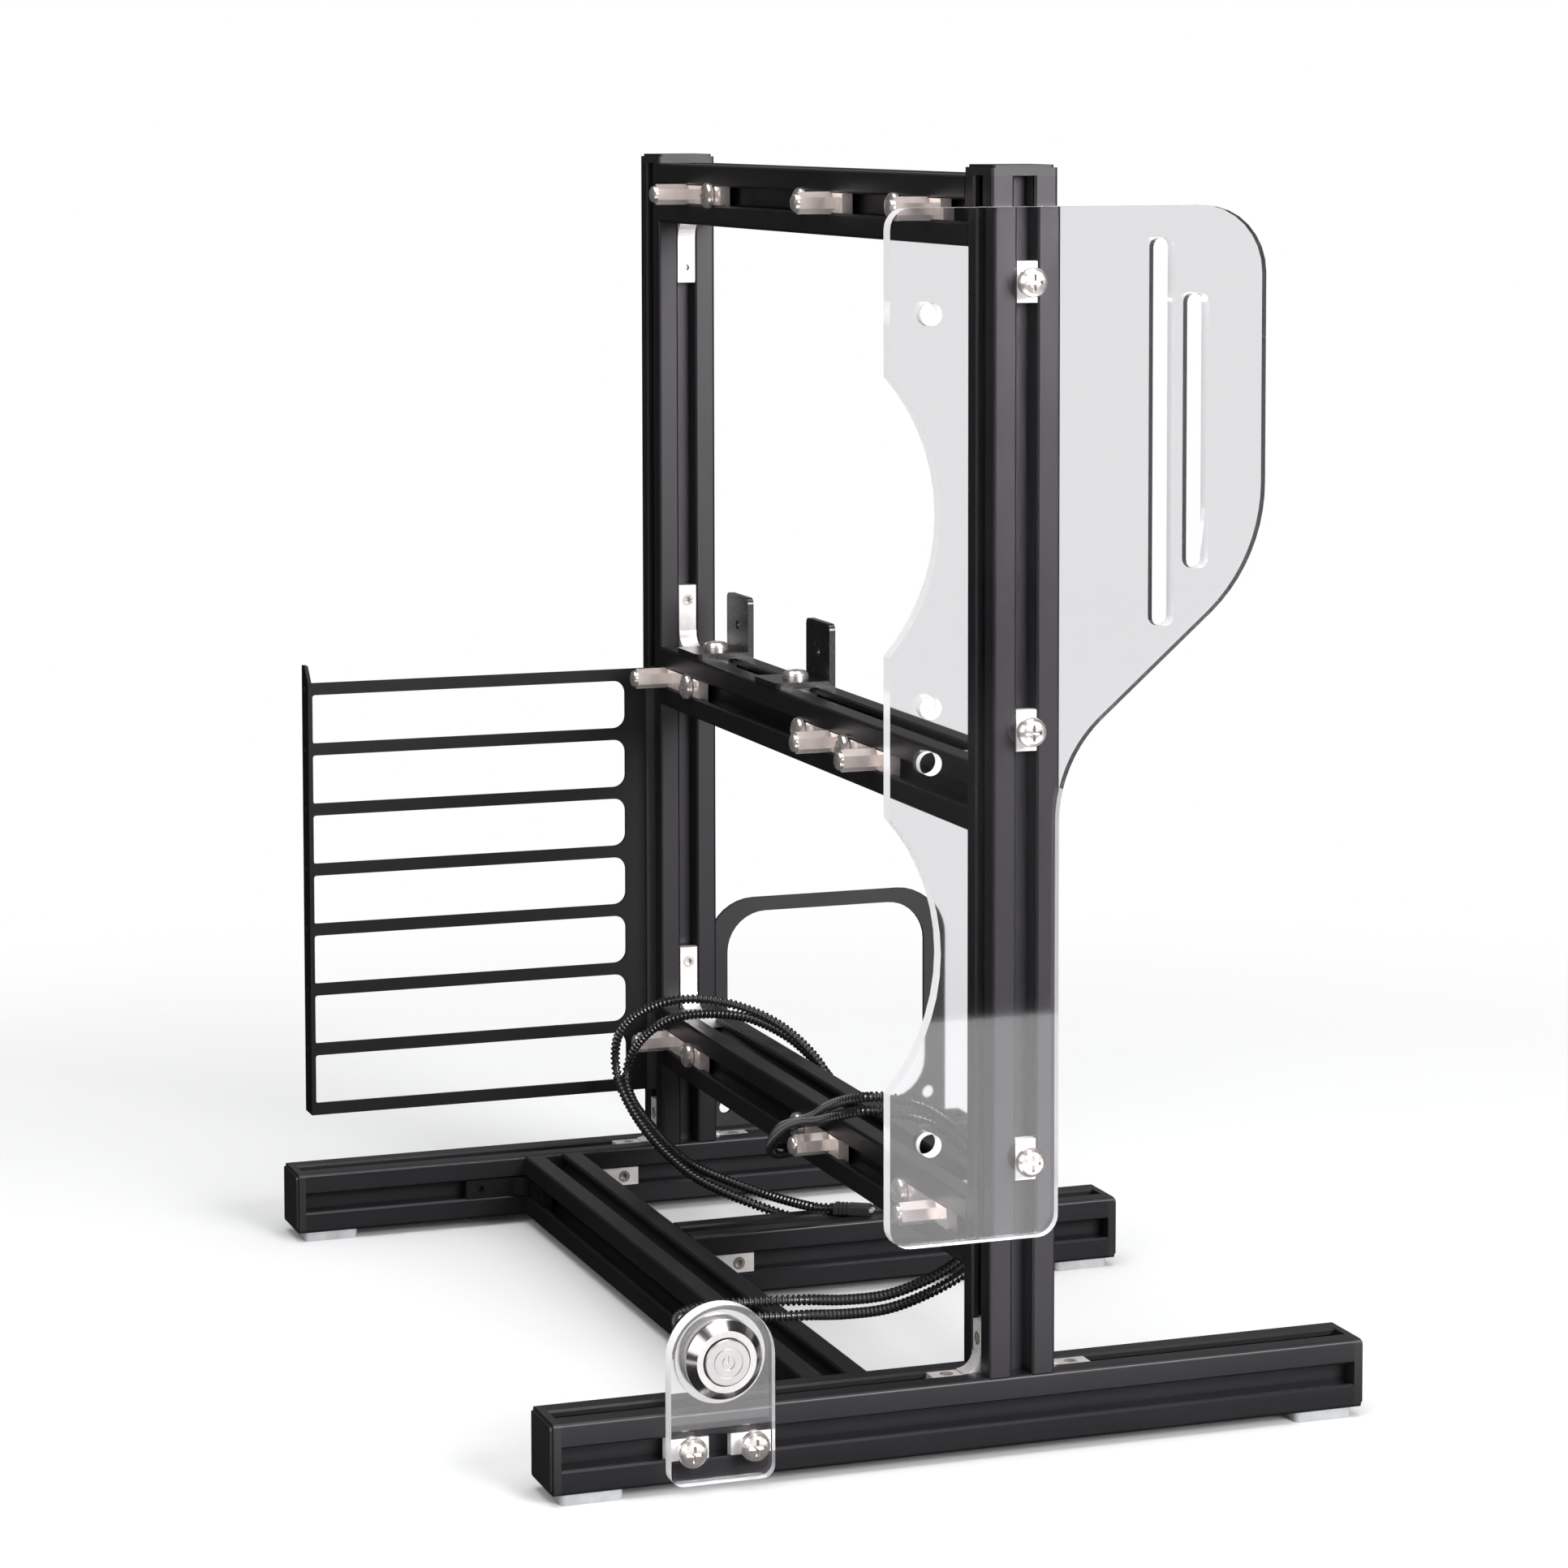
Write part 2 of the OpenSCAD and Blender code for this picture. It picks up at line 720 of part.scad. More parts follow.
module standoff() {
    color(nickel) difference() {
        union() {
            translate([0, slot_recess, 0]) rotate([90, 0, 0])
                cylinder(d = standoff_af / cos(30), h = standoff_len + slot_recess, $fn = 6);
            rotate([-90, 0, 0]) cylinder(d = screw_d - 2 * thread_gap, h = nut_back, $fn = 24);
        }
        translate([0, board_bore_len - standoff_len, 0]) rotate([90, 0, 0])
            cylinder(d = board_bore_d, h = board_bore_len + eps, $fn = 20);
    }
}

module standoffs(places, z) {
    for (place = on_bar(places, z)) {
        in_left_slot(place[0], place[2]) standoff();
    }
}

module sliders_top() sliders(top_shares, top_bar_z);
module sliders_mid() sliders(mid_shares, mid_bar_z);
module sliders_low() sliders(low_shares, low_bar_z);
module standoffs_top() standoffs(top_shares, top_bar_z);
module standoffs_mid() standoffs(mid_shares, mid_bar_z);
module standoffs_low() standoffs(low_shares, low_bar_z);

module slider_screws() {
    for (place = all_places) {
        in_left_slot(slider_y(place) + clamp_hole(place), place[2]) pan_screw(nut_back);
    }
}

board_screw_reach = 5;
board_head_share = 0.66;

module board_screw() {
    color(nickel) {
        rotate([90, 0, 0]) pan_head(board_head_share);
        rotate([-90, 0, 0]) cylinder(d = board_screw_d, h = board_screw_reach, $fn = 20);
    }
}

module board_screws() {
    for (place = all_places) {
        in_left_slot(place[0], place[2]) translate([0, -standoff_len, 0]) board_screw();
    }
}

// Power button on its clear tab

button_rise = 15;
button_z = foot_top + button_rise;
tab_z = 3.5;
tab_corner = 3.5;
tab_screw_x = 9;
barrel_len = 14;
ring_bevel = 1.2;
bezel_face_share = 0.78;
bezel_rim = 0.8;
stem_d = 6;
stem_len = 5;
press_t = 3;
press_r = press_d / 2;
nut_af = 22;
nut_t = 3.4;
washer_d = 26;
washer_t = 1;
terminal_d = 15;
terminal_t = 3;
relief_len = 7;
relief_d = 11;
relief_tip_d = 8.6;
lead_d = 3.2;
lead_side = 2.1;
lead_exit = barrel_len + terminal_t + relief_len;
symbol_r = 2;
symbol_line = 0.5;
symbol_depth = 0.25;
groove_r = 4.3;

bezel_top = plate_t + bezel_h;
press_top = bezel_top + press_proud;
press_back = press_top - press_t;
well_floor = press_back - travel - press_gap;
stem_back = press_back - stem_len;
stem_well = stem_back - travel - 2 * press_gap;

// The button's own frame: +Z points out of the front, from the tab's back face
module at_button() {
    translate([tab_x, 0, button_z]) rotate([90, 0, 0]) children();
}

module button_tab() {
    half = tab_w / 2;
    foot_drop = tab_z - button_z;
    color(clear) translate([tab_x, 0, button_z]) upright(plate_t) difference() {
        polygon(concat(arc([0, 0], half, 0, 180, 24),
            arc([tab_corner - half, foot_drop + tab_corner], tab_corner, 180, 270, 5),
            arc([half - tab_corner, foot_drop + tab_corner], tab_corner, 270, 360, 5)));
        circle(d = barrel_d + 2 * thread_gap, $fn = 48);
        for (sx = [-1, 1]) {
            translate([sx * tab_screw_x, slot_z - button_z]) circle(d = screw_hole_d, $fn = 24);
        }
    }
}

module tab_screws() {
    for (sx = [-1, 1]) {
        translate([tab_x + sx * tab_screw_x, -plate_t, slot_z]) pan_screw(plate_t + nut_back);
    }
}

module tab_nuts() {
    for (sx = [-1, 1]) {
        translate([tab_x + sx * tab_screw_x, 0, slot_z]) rotate([0, 90, 0]) slot_nut(nut_len, [0]);
    }
}

module button_body() {
    well_r = press_r + press_gap;
    stem_r = stem_d / 2 + press_gap;
    face_r = bezel_face_share * bezel_d / 2;
    color(nickel) at_button() rotate_extrude($fn = 48) polygon([[0, -barrel_len],
        [barrel_d / 2, -barrel_len], [barrel_d / 2, plate_t], [bezel_d / 2, plate_t],
        [bezel_d / 2, plate_t + bezel_rim], [face_r, bezel_top],
        [well_r, bezel_top], [well_r, well_floor], [stem_r, well_floor],
        [stem_r, stem_well], [0, stem_well]]);
}

module power_symbol() {
    difference() {
        circle(r = symbol_r, $fn = 32);
        circle(r = symbol_r - symbol_line, $fn = 32);
        translate([-symbol_r / 2, 0]) square([symbol_r, 2 * symbol_r]);
    }
    translate([-symbol_line / 2, 0]) square([symbol_line, symbol_r]);
}

module button_cap() {
    edge = press_gap;
    color(nickel) at_button() difference() {
        rotate_extrude($fn = 48) polygon([[0, stem_back], [stem_d / 2, stem_back],
            [stem_d / 2, press_back], [press_r, press_back], [press_r, press_top - edge],
            [press_r - edge, press_top], [0, press_top]]);
        translate([0, 0, press_top - symbol_depth]) linear_extrude(symbol_depth + eps) {
            power_symbol();
            difference() {
                circle(r = groove_r, $fn = 40);
                circle(r = groove_r - symbol_line, $fn = 40);
            }
        }
    }
}

module button_nut() {
    color(nickel) at_button() difference() {
        union() {
            translate([0, 0, -washer_t]) cylinder(d = washer_d, h = washer_t, $fn = 48);
            translate([0, 0, -nut_t]) cylinder(d = nut_af / cos(30), h = nut_t, $fn = 6);
        }
        translate([0, 0, -nut_t - eps])
            cylinder(d = barrel_d + 2 * thread_gap, h = nut_t + 2 * eps, $fn = 48);
    }
}

module button_terminal() {
    color(black) at_button() translate([0, 0, -barrel_len - terminal_t])
        cylinder(d = terminal_d, h = terminal_t, $fn = 40);
}

module lead_relief() {
    color(black) at_button() translate([0, 0, -barrel_len - terminal_t - relief_len])
        rotate_extrude($fn = 32) polygon([[0, 0], [relief_tip_d / 2, 0],
            [relief_d / 2, relief_len - ring_bevel], [relief_d / 2, relief_len],
            [0, relief_len]]);
}

// The button's two leads, one for its switch and one for its light. They leave the
// button to the rear, run under the lower crossbar behind the front post, climb over the
// bar, pass under it again, and make one loop over the bar's rear end. The switch lead
// comes to rest on the short foot, and the light lead hangs behind that foot.

switch_route = [
    [tab_x + lead_side, lead_exit, button_z], [50, 30, 38], [54, 35, 37.8], [61, 36.5, 37.5],
    [73, 34.5, 37], [86, 34.5, 36.3], [100, 39.5, 34], [115, 45, 32.8], [129, 49, 35],
    [141, 52, 39], [152, 56.5, 44.5], [158, 64, 52], [158.5, 73, 59], [156.5, 81.5, 65],
    [151.5, 87.5, 70.7], [144.5, 89, 76], [135, 91, 78.7], [127, 96, 78.8], [122, 107, 75.3],
    [120, 120, 71], [119.3, 132, 68], [119.3, 145, 63.5], [119.8, 158, 57.3],
    [121.5, 168, 52], [126.3, 176, 47.8], [134.5, 182.5, 46.6], [144, 188.5, 46.8],
    [152.5, 196, 48.5], [159.5, 205.5, 52.5], [160, 217, 60], [156.5, 228, 66.3],
    [150.5, 238.3, 72.2], [141.5, 250.5, 76], [131, 263, 75.5], [122, 272, 72.5], [116, 279, 66.5],
    [112.5, 284.5, 59], [110.7, 285, 51], [111, 278.5, 44], [112.7, 265.5, 38.8],
    [115, 250.5, 34.2], [118.5, 237, 31], [126, 224.5, 28.2], [135, 212.5, 25.6],
    [141, 202, 24.8], [145.5, 194, 24.7], [151, 190.5, 24.7]];

light_route = [
    [tab_x - lead_side, lead_exit, button_z], [46, 31.5, 38.3], [49.5, 38, 39], [57, 41, 39.8],
    [70, 40, 40], [86, 38, 39.8], [100, 41.5, 37.6], [115, 46.5, 36.4], [129, 50.5, 38.6],
    [139.5, 54, 42], [149.5, 58.5, 47], [154.5, 64.5, 54.5], [156, 71.5, 62],
    [154.5, 78, 69.5], [149.5, 83.5, 75.8], [142, 86.5, 81.3], [134, 88.5, 83.7],
    [126.5, 93.5, 83.5], [122.7, 104, 80.5], [122, 117, 75.7], [123, 131, 70],
    [123, 145, 65.2], [122.3, 158, 60.9], [123.7, 171, 54.5], [126.3, 181, 48.6],
    [133.5, 187.5, 46.7], [142.5, 193, 46.3], [150.8, 199.3, 49], [156, 206, 56],
    [156.5, 213, 63.5], [152.5, 221, 71], [145.5, 229.5, 77.7], [136, 237, 82.3],
    [125.5, 243.5, 84.5], [115.5, 250, 83.5], [107.5, 259, 78.5], [102.5, 265.5, 71],
    [101.5, 268, 63], [102, 266, 54.5], [104, 258.5, 46.5], [107, 249, 39.7],
    [111, 239, 34], [116.5, 228.5, 29], [123.5, 218.5, 25.6], [131, 209.5, 23],
    [140, 203.5, 20], [150, 202.5, 17], [159, 202.5, 17]];

lead_sides = 8;

function unit(v) = v / norm(v);
function heading(route, i) =
    unit(route[min(i + 1, len(route) - 1)] - route[max(i - 1, 0)]);
function across(n, t) = unit(n - (n * t) * t);

// Normals that follow a route without twisting
function route_normals(route) =
    [for (i = 0, n = across([0, 0, 1], heading(route, 0)); i < len(route);
        i = i + 1, n = across(n, heading(route, i))) n];

function ring_points(c, t, n) =
    let (b = cross(t, n))
    [for (k = [0:lead_sides - 1])
        c + lead_d / 2 * (n * cos(360 * k / lead_sides) + b * sin(360 * k / lead_sides))];

// A round lead swept along its route
module lead(route) {
    last = len(route) - 1;
    normals = route_normals(route);
    points = [for (i = [0:last]) each ring_points(route[i], heading(route, i), normals[i])];
    start_face = [[for (k = [lead_sides - 1:-1:0]) k]];
    end_face = [[for (k = [0:lead_sides - 1]) last * lead_sides + k]];
    sides = [for (i = [0:last - 1], k = [0:lead_sides - 1])
        let (a = i * lead_sides + k)
        let (b = i * lead_sides + (k + 1) % lead_sides)
        [a, b, b + lead_sides, a + lead_sides]];
    color(black) polyhedron(points = points, faces = concat(start_face, end_face, sides));
}

module switch_lead() lead(switch_route);
module light_lead() lead(light_route);

// Small two-way plugs on the leads' ends
plug_w = 5.4;
plug_t = 3.4;
plug_len = 12;
contact_w = 1;
contact_len = 1.2;

module plug(route) {
    end = route[len(route) - 1];
    run = end - route[len(route) - 2];
    translate(end) rotate([0, 0, atan2(run.y, run.x)]) {
        color(black) translate([0, -plug_w / 2, -plug_t / 2]) cube([plug_len, plug_w, plug_t]);
        for (sy = [-1, 1]) {
            color(nickel) translate([plug_len - eps, sy * plug_w / 4, 0])
                translate([0, -contact_w / 2, -contact_w / 2])
                cube([contact_len, contact_w, contact_w]);
        }
    }
}

module lead_plugs() {
    plug(switch_route);
    plug(light_route);
}

place() foot_front();
place() foot_back();
place() foot_mid();
place() floor_beam();
place() post_front();
place() post_back();
place() crossbar_top();
place() crossbar_mid();
place() crossbar_low();
place() cap_front_left();
place() cap_front_right();
place() cap_back_left();
place() cap_back_right();
place() cap_mid_right();
place() cap_post_front();
place() cap_post_back();
place() pad_front_left();
place() pad_front_right();
place() pad_back_left();
place() pad_back_right();
place() pad_mid();
place() connectors_top();
place() connectors_mid();
place() connectors_low();
place() connectors_post_front();
place() connectors_post_back();
place() connectors_floor();
place() grub_screws();
place() side_plate();
place() plate_screws();
place() plate_nuts();
place() expansion_panel();
place() panel_gasket();
place() rear_frame();
place() rear_frame_screws();
place() rear_frame_nuts();
place() angle_rear();
place() angle_front();
place() angle_screws();
place() angle_nuts();
place() sliders_top();
place() sliders_mid();
place() sliders_low();
place() slider_screws();
place() standoffs_top();
place() standoffs_mid();
place() standoffs_low();
place() board_screws();
place() button_tab();
place() tab_screws();
place() tab_nuts();
place() button_body();
place() button_cap();
place() button_nut();
place() button_terminal();
place() lead_relief();
place() switch_lead();
place() light_lead();
place() lead_plugs();
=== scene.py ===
import math

import bmesh
import bpy
from mathutils import Matrix, Vector


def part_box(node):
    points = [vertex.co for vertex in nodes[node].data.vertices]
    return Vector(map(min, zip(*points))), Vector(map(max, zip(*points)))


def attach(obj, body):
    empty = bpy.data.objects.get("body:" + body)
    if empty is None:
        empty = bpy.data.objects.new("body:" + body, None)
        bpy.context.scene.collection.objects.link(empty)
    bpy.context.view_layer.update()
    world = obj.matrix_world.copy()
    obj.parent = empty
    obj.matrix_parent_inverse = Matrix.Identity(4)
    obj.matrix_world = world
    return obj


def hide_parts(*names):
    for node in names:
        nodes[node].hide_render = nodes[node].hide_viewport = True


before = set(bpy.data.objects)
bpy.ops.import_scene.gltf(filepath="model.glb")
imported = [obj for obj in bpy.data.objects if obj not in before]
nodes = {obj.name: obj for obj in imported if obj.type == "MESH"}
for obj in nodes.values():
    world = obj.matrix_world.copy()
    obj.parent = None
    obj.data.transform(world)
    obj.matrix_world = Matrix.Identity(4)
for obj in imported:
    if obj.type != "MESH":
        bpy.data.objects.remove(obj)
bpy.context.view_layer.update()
scene = bpy.context.scene
scene.view_settings.view_transform = "Standard"

# The model's frame is the bench's middle at the ground. Lengths that come from the
# part's source are in millimetres from the feet's left end and the front foot's face.
MM = 0.001
HALF_FOOT = 122.5
CENTRE_Y = 157.578


def at(x, y, z):
    """A point of the part's source, in metres in the model's frame."""
    return Vector(((x - HALF_FOOT) * MM, (y - CENTRE_Y) * MM, z * MM))


# Camera, at the photo's place and with the photo's frame

CAMERA_AT = at(-330.74, -1132.34, 379.12)
YAW, PITCH, ROLL = 20.11, 4.21, -0.05
FOCAL_PX, IMAGE_PX = 5462.93, 1932
CENTRE_PX = (1035.99, 533.03)
SENSOR = 36
NEAR, FAR = 0.05, 60

camera_data = bpy.data.cameras.new("view_camera")
camera_data.sensor_width = SENSOR
camera_data.lens = FOCAL_PX / IMAGE_PX * SENSOR
camera_data.shift_x = (IMAGE_PX / 2 - CENTRE_PX[0]) / IMAGE_PX
camera_data.shift_y = (CENTRE_PX[1] - IMAGE_PX / 2) / IMAGE_PX
camera_data.clip_start = NEAR
camera_data.clip_end = FAR
camera = bpy.data.objects.new("view_camera", camera_data)
camera.location = CAMERA_AT
camera.rotation_euler = (
    Matrix.Rotation(math.radians(-YAW), 4, "Z")
    @ Matrix.Rotation(math.radians(90 - PITCH), 4, "X")
    @ Matrix.Rotation(math.radians(ROLL), 4, "Z")
).to_euler()
scene.collection.objects.link(camera)
scene.camera = camera


# Materials

SOCKETS = {
    "color": "Base Color",
    "metallic": "Metallic",
    "roughness": "Roughness",
    "ior": "IOR",
    "transmission": "Transmission Weight",
    "specular": "Specular IOR Level",
    "specular_tint": "Specular Tint",
    "coat": "Coat Weight",
    "coat_roughness": "Coat Roughness",
    "subsurface": "Subsurface Weight",
}
NOISE_ROUGHNESS = 0.55


class Tree:
    """A material's node tree with short ways to add and join nodes."""

    def __init__(self, name):
        self.material = bpy.data.materials.new(name)
        self.material.use_nodes = True
        self.nodes = self.material.node_tree.nodes
        self.links = self.material.node_tree.links
        self.bsdf = next(n for n in self.nodes if n.type == "BSDF_PRINCIPLED")
        self.output = next(n for n in self.nodes if n.type == "OUTPUT_MATERIAL")

    def set(self, **values):
        """Sets plain values on the shader's own sockets."""
        for key, value in values.items():
            self.bsdf.inputs[SOCKETS[key]].default_value = value

    def feed(self, **outputs):
        """Links outputs of other nodes to the shader's sockets."""
        for key, output in outputs.items():
            self.links.new(output, self.bsdf.inputs[SOCKETS[key]])

    def coordinates(self, scale=(1, 1, 1)):
        texture = self.nodes.new("ShaderNodeTexCoord")
        mapping = self.nodes.new("ShaderNodeMapping")
        mapping.inputs["Scale"].default_value = scale
        self.links.new(texture.outputs["Object"], mapping.inputs["Vector"])
        return mapping.outputs["Vector"]

    def noise(self, vector, scale, detail):
        node = self.nodes.new("ShaderNodeTexNoise")
        node.inputs["Scale"].default_value = scale
        node.inputs["Detail"].default_value = detail
        node.inputs["Roughness"].default_value = NOISE_ROUGHNESS
        self.links.new(vector, node.inputs["Vector"])
        return node.outputs["Fac"]

    def ramp(self, factor, stops):
        """Colours at two places of a factor, and what lies between them."""
        node = self.nodes.new("ShaderNodeValToRGB")
        for element, (place, color) in zip(node.color_ramp.elements, stops):
            element.position = place
            element.color = color
        self.links.new(factor, node.inputs["Fac"])
        return node.outputs["Color"]

    def span(self, factor, low, high):
        node = self.nodes.new("ShaderNodeMapRange")
        node.inputs["To Min"].default_value = low
        node.inputs["To Max"].default_value = high
        self.links.new(factor, node.inputs["Value"])
        return node.outputs["Result"]

    def bump(self, height, strength, distance, normal=None):
        node = self.nodes.new("ShaderNodeBump")
        node.inputs["Strength"].default_value = strength
        node.inputs["Distance"].default_value = distance
        self.links.new(height, node.inputs["Height"])
        if normal is not None:
            self.links.new(normal, node.inputs["Normal"])
        self.links.new(node.outputs["Normal"], self.bsdf.inputs["Normal"])
        return node.outputs["Normal"]


def grey(value, tint=0.0):
    """A grey that leans towards blue by the tint."""
    return (value, value, value * (1 + tint), 1)


def anodised(name, along):
    """Satin black anodised profile, with fine drawing lines along one axis."""
    tree = Tree(name)
    across, lengthwise = 260.0, 3.0
    stretch = [across] * 3
    stretch["XYZ".index(along)] = lengthwise
    lines = tree.noise(tree.coordinates(stretch), scale=5, detail=3)
    cloud = tree.noise(tree.coordinates(), scale=18, detail=3)
    grain = tree.noise(tree.coordinates(), scale=2600, detail=2)
    tree.set(specular=0.5, specular_tint=(1.0, 0.94, 1.0, 1))
    tree.feed(
        color=tree.ramp(cloud, [(0.3, grey(0.006, 0.1)), (0.75, grey(0.01, 0.12))]),
        roughness=tree.span(lines, 0.34, 0.46),
    )
    fine = tree.bump(grain, strength=0.05, distance=0.0002)
    tree.bump(lines, strength=0.05, distance=0.0002, normal=fine)
    return tree.material


def moulded(name, value, roughness, grain_size=1800, depth=0.15, specular=0.5):
    """Moulded plastic with a fine texture."""
    tree = Tree(name)
    grain = tree.noise(tree.coordinates(), scale=grain_size, detail=3)
    cloud = tree.noise(tree.coordinates(), scale=40, detail=3)
    tree.set(specular=specular)
    tree.feed(
        color=tree.ramp(
            cloud, [(0.3, grey(value * 0.85, 0.02)), (0.7, grey(value * 1.2, 0.02))]
        ),
        roughness=tree.span(cloud, roughness * 0.85, roughness * 1.15),
    )
    tree.bump(grain, strength=depth, distance=0.0002)
    return tree.material


def powder_coat(name, value, roughness=0.51, specular=0.25):
    """Fine black powder coat with a slight orange peel."""
    tree = Tree(name)
    peel = tree.noise(tree.coordinates(), scale=900, detail=2)
    fine = tree.noise(tree.coordinates(), scale=3200, detail=2)
    cloud = tree.noise(tree.coordinates(), scale=25, detail=3)
    tree.set(specular=specular)
    tree.feed(
        color=tree.ramp(
            cloud, [(0.3, grey(value * 0.8, 0.04)), (0.75, grey(value * 1.2, 0.05))]
        ),
        roughness=tree.span(fine, roughness * 0.8, roughness * 1.2),
    )
    peeled = tree.bump(peel, strength=0.12, distance=0.0003)
    tree.bump(fine, strength=0.08, distance=0.0002, normal=peeled)
    return tree.material


def plated(name, value, roughness, warm=0.05, scratch=0.15, coat=0.0, metal=1.0):
    """Bright plate with a warm tint, faint clouding and hairlines."""
    tree = Tree(name)
    cloud = tree.noise(tree.coordinates(), scale=220, detail=4)
    hair = tree.noise(tree.coordinates((900, 900, 120)), scale=3, detail=3)
    high = Vector((1, 1 - warm * 0.7, 1 - warm)) * value
    low = high * 0.86
    tree.set(metallic=metal, coat=coat, coat_roughness=0.08)
    tree.feed(
        color=tree.ramp(cloud, [(0.3, (*low, 1)), (0.7, (*high, 1))]),
        roughness=tree.span(cloud, roughness * 0.8, roughness * 1.4),
    )
    tree.bump(hair, strength=scratch, distance=0.0001)
    return tree.material


def clear_sheet(name):
    """Clear sheet seen through its faces, with a faint haze."""
    tree = Tree(name)
    cloud = tree.noise(tree.coordinates(), scale=14, detail=2)
    tree.set(color=(0.87, 0.865, 0.882, 1), transmission=1.0, ior=1.72, specular=0.5)
    tree.feed(roughness=tree.span(cloud, 0.012, 0.035))
    return tree.material


def cut_edge(name, color, transmission, specular, polish):
    """A sheet's cut edge, with fine lines from the cutter."""
    tree = Tree(name)
    lines = tree.noise(tree.coordinates((40, 1200, 40)), scale=2, detail=3)
    tree.set(color=color, transmission=transmission, ior=1.49, specular=specular)
    tree.feed(roughness=tree.span(lines, *polish))
    tree.bump(lines, strength=0.08, distance=0.0002)
    return tree.material


def milky(name):
    """Milky soft pad."""
    tree = Tree(name)
    cloud = tree.noise(tree.coordinates(), scale=160, detail=3)
    grain = tree.noise(tree.coordinates(), scale=700, detail=3)
    tree.set(transmission=0.2, roughness=0.35, ior=1.42, subsurface=0.1)
    tree.feed(
        color=tree.ramp(cloud, [(0.3, (0.45, 0.44, 0.45, 1)), (0.7, (0.6, 0.59, 0.6, 1))])
    )
    tree.bump(grain, strength=0.35, distance=0.0004)
    return tree.material


MATERIALS = {
    "profile_x": anodised("anodised_along_x", "X"),
    "profile_y": anodised("anodised_along_y", "Y"),
    "profile_z": anodised("anodised_along_z", "Z"),
    "cap": moulded("cap_plastic", value=0.014, roughness=0.42, depth=0.08),
    "pad": milky("pad_rubber"),
    "clear": clear_sheet("clear_sheet"),
    # A cut edge gathers light. Seen from inside the sheet it mirrors the dim room instead; the
    # dark copy of the edge material is a painted reflection of that dim room.
    "edge": cut_edge("sheet_edge", color=(1.0, 0.99, 1.0, 1), transmission=0.15,
                     specular=0.6, polish=(0.05, 0.16)),
    "painted_shade_edge": cut_edge("sheet_edge_painted_shade", color=(0.2, 0.2, 0.21, 1), transmission=0.6,
                         specular=0.5, polish=(0.08, 0.2)),
    "powder": powder_coat("powder_coat", value=0.005),
    "powder_ring": powder_coat("powder_coat_frame", value=0.03),
    "bracket": powder_coat("powder_coat_bracket", value=0.006, roughness=0.28, specular=0.8),
    "strip": moulded("strip_rubber", value=0.022, roughness=0.55, grain_size=2600),
    "connector": plated("connector_plate", value=0.92, roughness=0.36, coat=0.5, metal=0.5),
    "nut": plated("nut_plate", value=0.96, roughness=0.4, warm=0.03, coat=0.5, metal=0.0),
    "screw": plated("screw_plate", value=0.88, roughness=0.24, warm=0.12, coat=0.2,
                    metal=0.87),
    "hardware": plated("hardware_plate", value=0.96, roughness=0.22, warm=0.17,
                       scratch=0.08, coat=0.6, metal=0.65),
    "polished": plated("polished_steel", value=0.56, roughness=0.16, warm=0.04,
                       scratch=0.05),
    "button_face": plated("button_face", value=0.5, roughness=0.3, warm=0.02,
                          scratch=0.08),
    "button_plastic": moulded("button_plastic", value=0.025, roughness=0.42),
    "sleeve": moulded("lead_sleeve", value=0.012, roughness=0.26, grain_size=3000,
                      depth=0.1, specular=0.9),
    "plug": moulded("plug_plastic", value=0.02, roughness=0.38),
}

NODE_MATERIALS = {
    "foot_front": "profile_x",
    "foot_back": "profile_x",
    "foot_mid": "profile_x",
    "floor_beam": "profile_y",
    "post_front": "profile_z",
    "post_back": "profile_z",
    "crossbar_top": "profile_y",
    "crossbar_mid": "profile_y",
    "crossbar_low": "profile_y",
    "side_plate": "clear",
    "button_tab": "clear",
    "expansion_panel": "powder",
    "rear_frame": "powder_ring",
    "angle_rear": "bracket",
    "angle_front": "bracket",
    "panel_gasket": "strip",
    "button_body": "polished",
    "button_cap": "button_face",
    "button_nut": "polished",
    "button_terminal": "button_plastic",
    "lead_relief": "button_plastic",
    "switch_lead": "sleeve",
    "light_lead": "sleeve",
    "lead_plugs": "plug",
}
PREFIX_MATERIALS = {"cap_": "cap", "pad_": "pad", "connectors_": "connector"}
SUFFIX_MATERIALS = {"_nuts": "nut", "_screws": "screw"}


def material_for(name):
    """A node's material: by its name, or else by how the name starts or ends."""
    if name in NODE_MATERIALS:
        return NODE_MATERIALS[name]
    for prefix, material in PREFIX_MATERIALS.items():
        if name.startswith(prefix):
            return material
    for suffix, material in SUFFIX_MATERIALS.items():
        if name.endswith(suffix):
            return material
    return "hardware"


for name, node in nodes.items():
    node.data.materials.clear()
    node.data.materials.append(MATERIALS[material_for(name)])


# Finish of the solids

# Fine bevels catch the light on the edges of the plain solids. Widths in millimetres.
BEVELS = {
    0.25: [name for name in nodes if material_for(name).startswith("profile_")],
    0.35: [name for name in nodes if name.startswith(("cap_", "pad_"))],
    0.2: ["expansion_panel", "rear_frame", "angle_rear", "angle_front"],
    0.3: [name for name in nodes if name.startswith(("connectors_", "sliders_"))],
    0.15: [name for name in nodes if name.startswith("standoffs_")],
    0.4: ["button_body"],
}
BEVEL_ANGLE = 40
for width, names in BEVELS.items():
    for name in names:
        bevel = nodes[name].modifiers.new("edge", "BEVEL")
        bevel.width = width * MM
        bevel.segments = 2
        bevel.limit_method = "ANGLE"
        bevel.angle_limit = math.radians(BEVEL_ANGLE)

